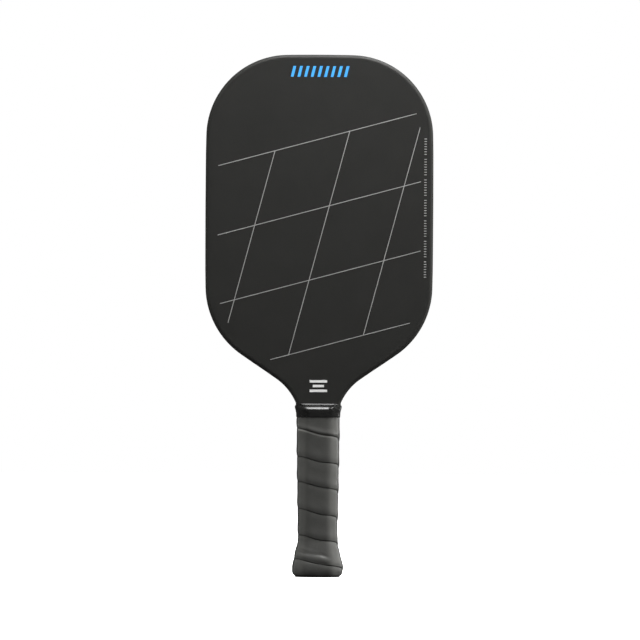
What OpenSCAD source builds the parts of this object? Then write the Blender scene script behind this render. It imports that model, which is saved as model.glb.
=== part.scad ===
// Pickleball paddle: a moulded carbon shell over a honeycomb core, with a wrapped octagonal handle.
// Frame: origin at the centre of the butt end, +Z up the paddle, +X to the right, front face to -Y.
// All sizes are in millimetres.

/* [Panel] */
// Overall length, butt end to crown
paddle_len = 419.1; // [405:0.1:431.8]
// Greatest width of the head
head_w = 182.9; // [176:0.1:196]
// Thickness across both faces
panel_t = 16; // [14:0.5:18]
// Radius of the shoulders, at the top corners
shoulder_r = 65.7; // [58:0.1:72]
// Length of the nearly straight side
side_len = 121.7; // [90:0.1:135]
// Radius of the hips, where the sides turn in
hip_r = 66.7; // [55:0.1:72]
// Angle of the flank from the long axis
flank_a = 55.7; // [50:0.1:58]
// Radius of the hollow throat beside the handle
throat_r = 45.2; // [38:0.1:54]
// Radius of the rounded rim
rim_r = 3; // [2.5:0.1:4]

/* [Layers] */
// Carbon skin thickness
skin_t = 0.6; // [0.4:0.05:0.8]
// Fibre veil on each side of the core
scrim_t = 0.3; // [0.2:0.05:0.4]
// Carbon edge channel thickness
wall_t = 0.6; // [0.4:0.1:0.8]
// Width of the foam band inside the edge
foam_w = 7.7; // [6:0.1:9]
// Honeycomb cell size across its flats
cell_w = 10; // [8:0.5:16]
// Honeycomb cell wall
cell_wall = 0.4; // [0.3:0.05:0.6]
// Thickness of the printed film
ink_t = 0.08; // [0.04:0.02:0.12]

/* [Handle] */
// Width of the tang inside the handle
tang_w = 23; // [20:0.5:24]
// Width of the bare handle at its top
handle_top_w = 31.4; // [31.2:0.1:31.8]
// Width of the bare handle at its butt
handle_butt_w = 27.1; // [26.5:0.1:28]
// Depth of the bare handle as a share of its width
handle_depth_ratio = 0.81; // [0.78:0.01:0.84]
// Height of the top of the grip
grip_top_z = 131; // [129:0.5:131]
// Width over the wrapped grip at its top
grip_top_w = 34.4; // [34.2:0.1:35]
// Width over the wrapped grip at its waist
grip_waist_w = 31.8; // [31.4:0.1:32.4]
// Width over the flared butt
flare_w = 41; // [40:0.1:42]
// Height at which the flare starts
flare_z = 28; // [26:0.5:30]
// Adhesive tape thickness
tape_t = 0.2; // [0.1:0.05:0.3]

/* [Printed marks] */
// Width of a printed line
line_w = 0.6; // [0.4:0.1:1.4]
// Slope of the grid's shallow lines
shallow_a = 15; // [5:1:30]
// Slope of the grid's steep lines
steep_a = 75; // [60:1:85]
// Side of one grid cell
grid_cell = 62; // [45:1:90]
// Number of slanted bars in the upper row
bar_count = 9; // [3:1:12]
// Number of tick marks beside the right edge
tick_count = 56; // [10:1:64]

/* [Hidden] */

half_t = panel_t / 2;
arc_tol = 0.05;

// Outline of the panel, as a chain of tangent arcs and lines from the crown down the right side.
// A station is [x, z, heading, mitre]; the heading is in degrees clockwise from +X.
crown_r = 1385;
side_bow = 0.74;
side_r = side_len / (2 * side_bow * PI / 180);
shoulder_h = 90 - side_bow;
flank_h = 90 + flank_a;
neck_half = 15.07;
neck_h = 100;
tang_r = 20;
tang_half = tang_w / 2;
tang_z = 5;
crown_a = asin((head_w / 2 - shoulder_r * sin(shoulder_h) - side_r * (1 - sin(shoulder_h)))
    / (crown_r - shoulder_r));

function arc_at(p, r, h) = [p[0] + r * (sin(h) - sin(p[2])), p[1] + r * (cos(h) - cos(p[2])), h, 1];
function line_at(p, len) = [p[0] + len * cos(p[2]), p[1] - len * sin(p[2]), p[2], 1];
function arc_run(p, r, h) =
    let (n = ceil(abs(h - p[2]) / (2 * acos(1 - arc_tol / abs(r)))))
    [for (k = [1 : n]) arc_at(p, r, p[2] + (h - p[2]) * k / n)];

crown = [0, paddle_len, 0, 1];
shoulder = arc_at(crown, crown_r, crown_a);
side_top = arc_at(shoulder, shoulder_r, shoulder_h);
side_end = arc_at(side_top, side_r, 180 - shoulder_h);
hip_end = arc_at(side_end, hip_r, flank_h);
throat_dx = throat_r * (sin(neck_h) - sin(flank_h));
flank_end = line_at(hip_end, (hip_end[0] - throat_dx - neck_half) / -cos(flank_h));
neck = arc_at(flank_end, -throat_r, neck_h);
taper_dx = neck_half - tang_half - tang_r * (1 - sin(neck_h));
taper_end = line_at(neck, taper_dx / -cos(neck_h));
tang_corner = [tang_half, tang_z, 135, sqrt(2)];

head_run = concat(
    [crown],
    arc_run(crown, crown_r, crown_a),
    arc_run(shoulder, shoulder_r, shoulder_h),
    arc_run(side_top, side_r, 180 - shoulder_h),
    arc_run(side_end, hip_r, flank_h),
    [flank_end]
);
right_run = concat(
    head_run,
    arc_run(flank_end, -throat_r, neck_h),
    [taper_end],
    arc_run(taper_end, -tang_r, 90),
    [tang_corner]
);

function inset(p, d) = [p[0] - d * p[3] * sin(p[2]), p[1] - d * p[3] * cos(p[2])];
function mirrored(p) = [-p[0], p[1]];
function outline(d) = concat(
    [for (p = right_run) inset(p, d)],
    [for (i = [len(right_run) - 1 : -1 : 1]) mirrored(inset(right_run[i], d))]
);
function half_width(z, d) = lookup(z, [for (p = right_run) let (q = inset(p, d)) [q[1], q[0]]]);

// Layer positions through the thickness and in from the edge
core_half_t = half_t - skin_t - scrim_t;
wall_in = skin_t + wall_t;
core_inset = wall_in + foam_w + 0.1;
neck_inset = rim_r + 0.1;
neck_core_z = flank_end[1] - 1;

// Handle stations, each [z, half width, half depth]
face_facet = 0.55;
side_facet = 0.57;
pallet_z = 2.7;
handle_half = [
    [pallet_z, handle_butt_w / 2, handle_butt_w * handle_depth_ratio / 2],
    [grip_top_z, handle_top_w / 2, handle_top_w * handle_depth_ratio / 2]
];
flare_low_z = 9.2;
flange_t = 1.3;
grip_depth_drop = 2.8;
flare_depth_drop = 3.8;
cap_lip = 0.5;
cap_under_wrap = 2;

// Printed pattern, placed on the head
grid_z = 268;
grid_inset = 10;
bar_row_z = 405.6;
bar_share = 0.42;
mark_z = 153.2;
tick_x = 85;
tick_z = [240, 355];

// ---------------------------------------------------------------- helpers

// Solid through a stack of loops that have the same number of points.
// closed joins the last loop to the first; otherwise the ends are capped.
module loft(loops, closed = false) {
    m = len(loops[0]);
    n = len(loops);
    rows = closed ? n : n - 1;
    sides = [
        for (i = [0 : rows - 1], j = [0 : m - 1])
            let (a = i * m, b = ((i + 1) % n) * m, k = (j + 1) % m)
            [a + j, b + j, b + k, a + k]
    ];
    caps = closed ? [] : [
        [for (j = [0 : m - 1]) j],
        [for (j = [m - 1 : -1 : 0]) (n - 1) * m + j]
    ];
    polyhedron(points = [for (loop = loops) each loop], faces = concat(sides, caps), convexity = 8);
}

// Flat sheet of the panel outline, set in by d, between two positions through the thickness
module sheet(d, y0, y1) {
    translate([0, y1, 0])
        rotate([90, 0, 0])
            linear_extrude(height = y1 - y0)
                polygon(outline(d));
}

// Core-shaped flat sheet: narrow in the head to leave room for the foam, wider in the neck
module core_sheet(y0, y1, trim = 0) {
    translate([0, y1, 0])
        rotate([90, 0, 0])
            linear_extrude(height = y1 - y0)
                union() {
                    polygon(outline(core_inset + trim));
                    intersection() {
                        polygon(outline(neck_inset + trim));
                        translate([-head_w / 2, 0])
                            square([head_w, neck_core_z - trim]);
                    }
                }
}

// Points of a quarter bend of the rim, as [inset, y], from the face round to the edge
function rim_bend(r) = [
    for (a = [90 : 22.5 : 180]) [rim_r + r * cos(a), half_t - rim_r + r * sin(a)]
];
function flipped(profile) = [for (i = [len(profile) - 1 : -1 : 0]) [profile[i][0], -profile[i][1]]];
function reversed(list) = [for (i = [len(list) - 1 : -1 : 0]) list[i]];

function station_loop(p, side, profile) = [
    for (q = profile) let (c = inset(p, q[0])) [side * c[0], q[1], c[1]]
];
// The whole edge, from the crown down the right side, across the tang and back up the left side
function whole_edge(profile) = concat(
    [for (p = right_run) station_loop(p, 1, profile)],
    [for (i = [len(right_run) - 1 : -1 : 1]) station_loop(right_run[i], -1, profile)]
);
// The edge of the head only, from the left throat over the crown to the right throat
function head_edge(profile) = concat(
    [for (i = [len(head_run) - 1 : -1 : 1]) station_loop(head_run[i], -1, profile)],
    [for (p = head_run) station_loop(p, 1, profile)]
);

// Octagon of the handle, counter-clockwise, from its half width and half depth
function octagon(a, b) = [
    [a, -b * side_facet], [a, b * side_facet], [a * face_facet, b], [-a * face_facet, b],
    [-a, b * side_facet], [-a, -b * side_facet], [-a * face_facet, -b], [a * face_facet, -b]
];
function raised(points, z) = [for (p = points) [p[0], p[1], z]];
function octagon_loops(stations) = [for (s = stations) raised(octagon(s[1], s[2]), s[0])];
function grown(stations, d) = [for (s = stations) [s[0], s[1] + d, s[2] + d]];

// Half sizes of the bare handle at a height
function handle_at(z) = [
    z,
    lookup(z, [for (s = handle_half) [s[0], s[1]]]),
    lookup(z, [for (s = handle_half) [s[0], s[2]]])
];

// Bare handle between two heights, grown by d all round
module handle_block(z0, z1, d) {
    loft(octagon_loops(grown([handle_at(z0), handle_at(z1)], d)));
}

// Wire staple: the crown lies along Y on the plane x = 0 and the legs point to -X
module staple(crown_len, leg_len, gauge) {
    translate([-gauge, -crown_len / 2, -gauge / 2])
        cube([gauge, crown_len, gauge]);
    for (side = [-1, 1])
        translate([-leg_len, side * (crown_len - gauge) / 2 - gauge / 2, -gauge / 2])
            cube([leg_len, gauge, gauge]);
}

// ---------------------------------------------------------------- panel

// How far a point is inside the core's edge wall, measured across the paddle
function core_margin(x, z) =
    let (d = z < neck_core_z + 1 ? neck_inset : core_inset)
    z < tang_z + neck_inset + cell_wall || z > paddle_len - core_inset - cell_wall
        ? -1
        : half_width(z, d) - cell_wall - abs(x);
// The least margin of a cell's six corners
function cell_margin(x, z, r) = min([for (a = [0 : 60 : 300]) core_margin(x + r * sin(a), z + r * cos(a))]);

module honeycomb_cells(whole) {
    pitch = cell_w + cell_wall;
    cell_r = cell_w / sqrt(3);
    row_h = pitch * sqrt(3) / 2;
    rows = floor(paddle_len / row_h);
    columns = ceil(head_w / pitch / 2);
    for (row = [0 : rows], column = [-columns : columns]) {
        x = (column + (row % 2) / 2) * pitch;
        z = row * row_h;
        fits = cell_margin(x, z, cell_r) > 0;
        cut = core_margin(x, z) > cell_w / 8 && !fits;
        if (whole ? fits : cut)
            translate([x, half_t, z])
                rotate([90, 30, 0])
                    cylinder(h = panel_t, r = cell_r, $fn = 6);
    }
}

// Polypropylene honeycomb with its cells running through the thickness, closed by a thin edge
module honeycomb_core() {
    color("gainsboro")
        difference() {
            core_sheet(-core_half_t, core_half_t);
            honeycomb_cells(whole = true);
            intersection() {
                honeycomb_cells(whole = false);
                core_sheet(-half_t, half_t, trim = cell_wall);
            }
        }
}

module core_scrim() {
    core_sheet(core_half_t, core_half_t + scrim_t);
}

module front_core_scrim() {
    color("whitesmoke")
        rotate([0, 0, 180])
            core_scrim();
}

module back_core_scrim() {
    color("whitesmoke")
        core_scrim();
}

// Foam band between the core and the carbon edge channel
module edge_foam() {
    bend = rim_bend(rim_r - wall_in);
    foam_half_t = half_t - skin_t;
    reach = wall_in + foam_w;
    color("beige")
        loft(head_edge(concat(
            [[reach, foam_half_t], [rim_r, foam_half_t]], bend,
            flipped(bend), [[rim_r, -foam_half_t], [reach, -foam_half_t]]
        )));
}

// Carbon channel round the whole edge, which joins the two skins
module edge_wall() {
    outer = rim_bend(rim_r - skin_t);
    inner = rim_bend(rim_r - wall_in);
    color("#2b2b2b")
        loft(
            whole_edge(concat(
                outer, flipped(outer), reversed(flipped(inner)), reversed(inner)
            )),
            closed = true
        );
}

// Carbon skin: a flat face with its rim rolled round to the middle of the edge
module face_skin() {
    sheet(rim_r, half_t - skin_t, half_t);
    loft(
        whole_edge(concat(
            rim_bend(rim_r), [[0, 0]], [[skin_t, 0]], reversed(rim_bend(rim_r - skin_t))
        )),
        closed = true
    );
}

module front_face_skin() {
    color("#333332")
        rotate([0, 0, 180])
            face_skin();
}

module back_face_skin() {
    color("#333332")
        face_skin();
}

// ---------------------------------------------------------------- printed marks

// Film cut to the flat part of the front face
module front_film() {
    rotate([90, 0, 0])
        translate([0, 0, half_t])
            linear_extrude(height = ink_t)
                intersection() {
                    polygon(outline(rim_r));
                    union()
                        children();
                }
}

// Straight printed line through a point, along a slope, of a given length
module print_line(p, slope, len) {
    translate(p)
        rotate([0, 0, slope])
            square([len, line_w], center = true);
}

// Plain skewed grid of equal cells: four shallow lines, joined by three steep ones
module line_grid() {
    rows = 4;
    across = [cos(shallow_a), sin(shallow_a)] * grid_cell;
    up = [cos(steep_a), sin(steep_a)] * grid_cell;
    intersection() {
        polygon(outline(grid_inset));
        translate([0, grid_z]) {
            for (k = [(1 - rows) / 2 : (rows - 1) / 2])
                print_line(k * up, shallow_a, 2 * head_w);
            for (k = [-1 : 1])
                print_line(k * across, steep_a, (rows - 1) * grid_cell + line_w);
        }
    }
}

// Run of ticks beside the right edge, in groups of seven
module tick_row() {
    group = 8;
    tick_w = 1.9;
    pitch = (tick_z[1] - tick_z[0]) / tick_count;
    for (k = [0 : tick_count - 1])
        if (k % group != group - 1)
            translate([tick_x, tick_z[0] + (k + 0.5) * pitch])
                square([tick_w, pitch / 3], center = true);
}

// Row of plain slanted bars near the crown
module bar_pattern() {
    row_w = 48;
    bar_h = 8.6;
    lean = 2.2;
    pitch = row_w / bar_count;
    bar_w = pitch * bar_share;
    for (k = [0 : bar_count - 1])
        translate([(k + 0.5) * pitch - row_w / 2, bar_row_z])
            polygon([
                [-bar_w / 2 - lean / 2, -bar_h / 2], [bar_w / 2 - lean / 2, -bar_h / 2],
                [bar_w / 2 + lean / 2, bar_h / 2], [-bar_w / 2 + lean / 2, bar_h / 2]
            ]);
}

// Three short bars in the throat
module throat_bars() {
    bar_h = 2;
    short_w = 9;
    long_w = 14;
    spacing = 3.8;
    for (row = [-1 : 1])
        translate([0, mark_z + row * spacing])
            square([row == 0 ? short_w : long_w, bar_h], center = true);
}

module front_line_print() {
    color("#8a8a88")
        front_film() {
            line_grid();
            tick_row();
        }
}

module front_bar_print() {
    color("#3f9fe8")
        front_film()
            bar_pattern();
}

module front_mark_print() {
    color("white")
        front_film()
            throat_bars();
}

module back_line_print() {
    color("#8a8a88")
        rotate([0, 0, 180])
            front_film() {
                line_grid();
                tick_row();
            }
}

module back_bar_print() {
    color("#3f9fe8")
        rotate([0, 0, 180])
            front_film()
                bar_pattern();
}

module back_mark_print() {
    color("white")
        rotate([0, 0, 180])
            front_film()
                throat_bars();
}

// ---------------------------------------------------------------- handle

cap_top_z = flare_z - 1;
flare_half = [flare_w / 2, flare_w / 2 - flare_depth_drop];
flange_half = flare_half - [2.1, 2.1];
wrap_seat = flare_half - [cap_under_wrap, cap_under_wrap];
seat_draft = [0.8, 1.2];
function station(z, half, less = 0) = [z, half[0] - less, half[1] - less];
// Outside of the butt cap, from its flat end up to its feather edge
cap_stations = [
    station(0, flange_half, 1.3),
    station(flange_t / 3, flange_half, 0.5),
    station(flange_t, flange_half),
    station(flange_t, wrap_seat - seat_draft),
    station(flare_low_z, wrap_seat - [0, 0.5]),
    grown([handle_at(cap_top_z)], cap_lip)[0]
];
function between(z, low, high) = [for (i = [0 : 2]) lookup(z, [[low[0], low[i]], [high[0], high[i]]])];
function cap_at(z) = between(z, cap_stations[4], cap_stations[5]);

// Staples, each [crown length, leg length, wire gauge]
cap_staple_z = 19;
cap_staple = [7, 6, 0.6];
wrap_staple_z = 13;
wrap_staple = [8, 3.2, 0.6];
hole_gap = 0.05;

module place_cap_staples() {
    for (turn = [0, 180])
        rotate([0, 0, turn])
            translate([cap_at(cap_staple_z)[1] - 0.4, 0, cap_staple_z])
                children();
}

module place_wrap_staple() {
    rotate([0, 0, -90])
        translate([cap_at(wrap_staple_z)[2] + 1.1, 0, wrap_staple_z])
            children();
}

// Room for a staple of the given sizes, with a small gap all round
module staple_hole(sizes) {
    room = sizes + [2, 2, 2] * hole_gap;
    translate([hole_gap, 0, 0])
        staple(room[0], room[1], room[2]);
}

module cap_staple_holes() {
    place_cap_staples()
        staple_hole(cap_staple);
}

module wrap_staple_holes() {
    place_wrap_staple()
        staple_hole(wrap_staple);
}

// Half of the handle, moulded to sit over the tang; the other half is the same piece turned round
module handle_pallet() {
    slot_gap = 0.1;
    difference() {
        handle_block(pallet_z, grip_top_z, 0);
        translate([-head_w / 2, -head_w, -1])
            cube([head_w, head_w, paddle_len]);
        sheet(-slot_gap, -half_t - slot_gap, half_t + slot_gap);
        cap_staple_holes();
    }
}

module front_handle_pallet() {
    color("burlywood")
        rotate([0, 0, 180])
            handle_pallet();
}

module back_handle_pallet() {
    color("burlywood")
        handle_pallet();
}

disc_r = 11.5;
disc_t = 0.5;

// Flared plastic cap over the end of the handle
module butt_cap() {
    color("#151515")
        difference() {
            loft(octagon_loops(cap_stations));
            handle_block(pallet_z - 0.1, cap_top_z + 1, 0.02);
            translate([0, 0, -1])
                cylinder(h = 1 + disc_t, r = disc_r + hole_gap, $fn = 96);
            cap_staple_holes();
            wrap_staple_holes();
        }
}

// Plain disc let into the end of the cap
module butt_cap_disc() {
    color("#2e2e2e")
        translate([0, 0, 0.05])
            cylinder(h = disc_t - 0.05, r = disc_r, $fn = 96);
}

module butt_cap_staples() {
    color("silver")
        place_cap_staples()
            staple(cap_staple[0], cap_staple[1], cap_staple[2]);
}

// Double-sided tape over the bare handle, above the cap
module grip_adhesive_tape() {
    z0 = cap_top_z + 0.1;
    inside = [handle_at(z0), handle_at(grip_top_z)];
    color("ivory")
        loft(octagon_loops(concat(grown(inside, tape_t), reversed(grown(inside, 0.02)))), closed = true);
}

wrap_low_z = flange_t + 0.1;
waist_half = [grip_waist_w / 2, grip_waist_w / 2 - grip_depth_drop + 0.3];
top_half = [grip_top_w / 2, grip_top_w / 2 - grip_depth_drop];
// Outside of the wrapped grip, from the butt flange to its top
wrap_stations = [
    station(wrap_low_z, flare_half, 1.9),
    station(wrap_low_z + 1, flare_half, 1.1),
    station(wrap_low_z + 3.2, flare_half, 0.5),
    station(flare_low_z, flare_half),
    station(flare_z, waist_half, -0.15),
    station(flare_z + 10, waist_half),
    station(grip_top_z - 25, top_half, 0.15),
    station(grip_top_z, top_half)
];

// Cushioned grip strip, as one sleeve over the tape and the flare of the cap
module grip_wrap() {
    inside = concat(
        [
            station(wrap_low_z, wrap_seat - seat_draft),
            cap_stations[4],
            cap_stations[5]
        ],
        grown([handle_at(cap_top_z + 0.1), handle_at(grip_top_z)], tape_t)
    );
    color("#4a4a49")
        difference() {
            loft(
                octagon_loops(concat(wrap_stations, reversed(grown(inside, 0.05)))),
                closed = true
            );
            wrap_staple_holes();
        }
}

module grip_start_staple() {
    color("silver")
        place_wrap_staple()
            staple(wrap_staple[0], wrap_staple[1], wrap_staple[2]);
}

collar_z = 128.1;
finish_t = 0.15;
collar_gap = 0.05;

// Adhesive tape that ties down the top end of the grip strip, under the collar
module finishing_tape() {
    top = station(grip_top_z, top_half);
    low = station(collar_z + 0.7, top_half);
    color("#1c1c1c")
        loft(
            octagon_loops(concat(grown([low, top], finish_t), reversed(grown([low, top], 0.02)))),
            closed = true
        );
}

// Rounded rectangle of four corner arcs, counter-clockwise, from its half sizes and its corners' reach
function soft_box(half, reach) = [
    for (corner = [0 : 3], k = [0 : 4])
        let (
            turn = corner * 90 + k * 22.5,
            sx = corner == 0 || corner == 3 ? 1 : -1,
            sy = corner < 2 ? 1 : -1
        )
        [sx * (half[0] - reach[0]) + reach[0] * cos(turn), sy * (half[1] - reach[1]) + reach[1] * sin(turn)]
];

// Rubber collar: a skirt over the grip that closes in to a thin lip around the neck
module grip_collar() {
    seat = top_half + [1, 1] * (finish_t + collar_gap);
    seat_reach = [7.2, 6.2];
    lip_z = 139.1;
    step_z = grip_top_z + 0.1;
    neck_gap = 0.12;
    neck_reach = [3, 3];
    lip = [half_width(lip_z, 0) + neck_gap, half_t + neck_gap];
    step = [half_width(step_z, 0) + neck_gap, half_t + neck_gap];
    // Each row is [z, half sizes, reach of its corners]
    outside = [
        [collar_z, seat + [0.2, 0.2], seat_reach],
        [collar_z + 1.2, seat + [0.35, 0.35], seat_reach],
        [lip_z - 6.6, seat + [0.55, 0.5], seat_reach],
        [lip_z - 4.7, seat + [1, 0.3], seat_reach],
        [lip_z - 3.5, seat + [1.35, -0.7], [7, 5.6]],
        [lip_z - 2.6, seat + [1.5, -2.4], [6.4, 5]],
        [lip_z - 1.7, [seat[0] + 1.2, lip[1] + 1.5], [4.6, 4]],
        [lip_z - 0.9, [seat[0] + 0.85, lip[1] + 0.8], [3.8, 3.4]],
        [lip_z, lip + [0.2, 0.3], [3.2, 3.2]]
    ];
    inside = [
        [lip_z, lip, neck_reach],
        [step_z, step, neck_reach],
        [step_z, seat, seat_reach],
        [collar_z, seat, seat_reach]
    ];
    color("#101010")
        loft(
            [for (s = concat(outside, inside)) raised(soft_box(s[1], s[2]), s[0])],
            closed = true
        );
}

honeycomb_core();
front_core_scrim();
back_core_scrim();
edge_foam();
edge_wall();
front_face_skin();
back_face_skin();
front_line_print();
front_bar_print();
front_mark_print();
back_line_print();
back_bar_print();
back_mark_print();
front_handle_pallet();
back_handle_pallet();
butt_cap();
butt_cap_disc();
butt_cap_staples();
grip_adhesive_tape();
grip_wrap();
grip_start_staple();
finishing_tape();
grip_collar();
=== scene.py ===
import math

import bmesh
import bpy
import numpy as np
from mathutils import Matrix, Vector, noise
from mathutils.bvhtree import BVHTree


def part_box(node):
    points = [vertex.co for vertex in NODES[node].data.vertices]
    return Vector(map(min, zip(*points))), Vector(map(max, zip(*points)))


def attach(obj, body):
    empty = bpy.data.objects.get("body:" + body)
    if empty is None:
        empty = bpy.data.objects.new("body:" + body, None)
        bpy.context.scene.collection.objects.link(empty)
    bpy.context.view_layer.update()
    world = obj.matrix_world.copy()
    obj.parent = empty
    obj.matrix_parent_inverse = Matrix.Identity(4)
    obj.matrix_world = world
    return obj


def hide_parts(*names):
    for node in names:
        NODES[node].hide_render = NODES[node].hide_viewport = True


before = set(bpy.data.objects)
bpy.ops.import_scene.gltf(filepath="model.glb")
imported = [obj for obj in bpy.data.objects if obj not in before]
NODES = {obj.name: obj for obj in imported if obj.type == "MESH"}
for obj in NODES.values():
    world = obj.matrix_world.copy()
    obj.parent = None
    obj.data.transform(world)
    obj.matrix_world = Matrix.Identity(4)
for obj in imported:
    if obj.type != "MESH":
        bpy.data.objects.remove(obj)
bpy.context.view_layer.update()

MM = 0.001

# Driving sizes that the frame gives: low and high corners of CAD nodes, in millimetres
COLLAR_LOW, COLLAR_HIGH = [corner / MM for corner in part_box("grip_collar")]
WRAP_LOW, WRAP_HIGH = [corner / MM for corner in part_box("grip_wrap")]
CAP_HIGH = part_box("butt_cap")[1] / MM
DISC_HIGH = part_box("butt_cap_disc")[1] / MM
HALF_T = (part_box("back_face_skin")[1] / MM).y


# ------------------------------------------------------------------ measuring the frame

def surface_tree(node):
    """Search tree over a CAD node's faces, in millimetres."""
    mesh = NODES[node].data
    points = [v.co / MM for v in mesh.vertices]
    return BVHTree.FromPolygons(points, [p.vertices[:] for p in mesh.polygons])


# Rays run a little off the planes of symmetry, so that none meets an edge, and start well outside
OFF_PLANE, FAR = 0.01, 500


def bore_sizes(tree, z):
    """Half width and half depth of the hole through a CAD node at a height, in millimetres."""
    side = tree.ray_cast(Vector((0, OFF_PLANE, z)), Vector((1, 0, 0)))[0]
    back = tree.ray_cast(Vector((OFF_PLANE, 0, z)), Vector((0, 1, 0)))[0]
    return side.x, back.y


def half_sizes(tree, z):
    """Half width and half depth of a CAD node at a height, in millimetres."""
    side = tree.ray_cast(Vector((FAR, OFF_PLANE, z)), Vector((-1, 0, 0)))[0]
    back = tree.ray_cast(Vector((OFF_PLANE, FAR, z)), Vector((0, -1, 0)))[0]
    return side.x, back.y


# ------------------------------------------------------------------ mesh helpers

def new_piece(name, verts, faces, material, node):
    """A smooth piece from points in millimetres; it rides on the only body and stands for a CAD node."""
    mesh = bpy.data.meshes.new(name)
    mesh.from_pydata([tuple(c * MM for c in v) for v in verts], [], faces)
    mesh.validate()
    piece = bpy.data.objects.new(name, mesh)
    bpy.context.scene.collection.objects.link(piece)
    for polygon in mesh.polygons:
        polygon.use_smooth = True
    mesh.materials.append(material)
    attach(piece, "root")
    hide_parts(node)
    return piece


def face_outward(piece, join=False):
    """Turns every face of a closed mesh to the outside, and may join coincident points first."""
    bm = bmesh.new()
    bm.from_mesh(piece.data)
    if join:
        bmesh.ops.remove_doubles(bm, verts=bm.verts, dist=1e-6)
    bmesh.ops.recalc_face_normals(bm, faces=bm.faces)
    bm.to_mesh(piece.data)
    bm.free()


def loft(loops, capped=True):
    """Points and faces through a stack of loops with equal counts; counter-clockwise loops face out."""
    count = len(loops[0])
    verts = [tuple(p) for loop in loops for p in loop]
    faces = []
    for i in range(len(loops) - 1):
        for j in range(count):
            k = (j + 1) % count
            faces.append((i * count + j, i * count + k, (i + 1) * count + k, (i + 1) * count + j))
    if capped:
        faces.append(tuple(reversed(range(count))))
        faces.append(tuple(range((len(loops) - 1) * count, len(loops) * count)))
    return verts, faces


def smooth_closed(points, spread):
    """Rounds the corners of an evenly spaced closed run of points with a bell-shaped average."""
    reach = int(3 * spread) + 1
    weights = np.exp(-0.5 * (np.arange(-reach, reach + 1) / spread) ** 2)
    weights /= weights.sum()
    rounded = np.zeros_like(points)
    for shift, weight in zip(range(-reach, reach + 1), weights):
        rounded += weight * np.roll(points, shift, axis=0)
    return rounded


FACE_STEPS, CHAMFER_STEPS, SIDE_STEPS = 28, 16, 20


def octagon(a, b, cut_x, cut_y, spread):
    """Rounded octagon, counter-clockwise from the middle of its left side, in millimetres.
    a and b are the half sizes, cut_x and cut_y the reach of each chamfer."""
    corners = [
        (-a, 0), (-a, cut_y - b), (cut_x - a, -b), (a - cut_x, -b), (a, cut_y - b),
        (a, b - cut_y), (a - cut_x, b), (cut_x - a, b), (-a, b - cut_y), (-a, 0),
    ]
    half_side = SIDE_STEPS // 2
    steps = [
        half_side, CHAMFER_STEPS, FACE_STEPS, CHAMFER_STEPS, SIDE_STEPS,
        CHAMFER_STEPS, FACE_STEPS, CHAMFER_STEPS, half_side,
    ]
    points = []
    for start, end, count in zip(corners, corners[1:], steps):
        for k in range(count):
            t = k / count
            points.append((start[0] + t * (end[0] - start[0]), start[1] + t * (end[1] - start[1])))
    return smooth_closed(np.array(points), spread)


def raised(loop, z):
    """A flat loop of points at a height."""
    return [(x, y, z) for x, y in loop]


# ------------------------------------------------------------------ materials

def set_span(node, start, end, low, high):
    """Sets a map range node to map the span start to end onto low to high."""
    for socket, value in (("From Min", start), ("From Max", end), ("To Min", low), ("To Max", high)):
        node.inputs[socket].default_value = value


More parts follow.
